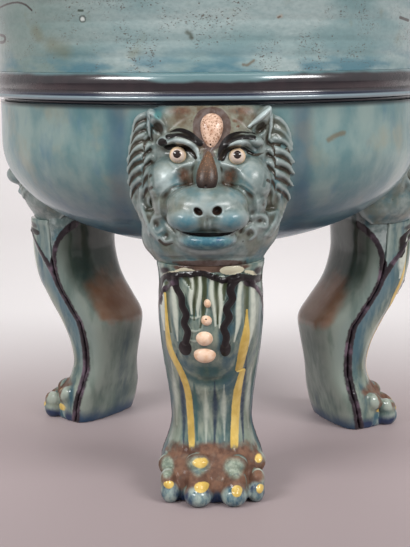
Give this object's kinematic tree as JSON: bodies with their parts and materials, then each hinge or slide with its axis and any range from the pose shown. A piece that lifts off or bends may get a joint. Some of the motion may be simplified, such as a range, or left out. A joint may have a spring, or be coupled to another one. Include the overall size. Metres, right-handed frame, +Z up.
{
  "type": "tripod bowl",
  "caption": "Deep glazed earthenware bowl with an upright collar and a rolled rim above a dark raised ring, standing on cabriole legs that grow out of lion masks.",
  "frame": {"origin": "on the bowl's axis, at the height of the three soles", "axes": "+Z up along the bowl's axis, -Y towards the front leg, +X to the right of someone who faces that leg"},
  "size_m": [0.312, 0.3112, 0.2998],
  "materials": {
    "belly_glaze": "gloss",
    "ring_glaze": "gloss",
    "collar_glaze": "gloss",
    "mask_glaze": "gloss",
    "leg_glaze": "gloss",
    "leg_back_glaze": "gloss",
    "eye_clay": "gloss",
    "jewel_clay": "gloss",
    "drop_clay": "gloss",
    "pearl_clay": "gloss"
  },
  "bodies": {
    "root": {"bowl_belly": "belly_glaze", "ring_moulding": "ring_glaze", "bowl_collar": "collar_glaze", "front_lion_mask": "mask_glaze", "front_leg_front": "leg_glaze", "front_leg_back": "leg_back_glaze", "front_eye_left": "eye_clay", "front_eye_right": "eye_clay", "front_forehead_jewel": "jewel_clay", "front_nose_drop": "drop_clay", "front_pearl_1": "pearl_clay", "front_pearl_2": "pearl_clay", "front_pearl_3": "pearl_clay", "front_pearl_4": "pearl_clay", "right_lion_mask": "mask_glaze", "right_leg_front": "leg_glaze", "right_leg_back": "leg_back_glaze", "right_eye_left": "eye_clay", "right_eye_right": "eye_clay", "right_forehead_jewel": "jewel_clay", "right_nose_drop": "drop_clay", "right_pearl_1": "pearl_clay", "right_pearl_2": "pearl_clay", "right_pearl_3": "pearl_clay", "right_pearl_4": "pearl_clay", "left_lion_mask": "mask_glaze", "left_leg_front": "leg_glaze", "left_leg_back": "leg_back_glaze", "left_eye_left": "eye_clay", "left_eye_right": "eye_clay", "left_forehead_jewel": "jewel_clay", "left_nose_drop": "drop_clay", "left_pearl_1": "pearl_clay", "left_pearl_2": "pearl_clay", "left_pearl_3": "pearl_clay", "left_pearl_4": "pearl_clay"}
  },
  "joints": []
}
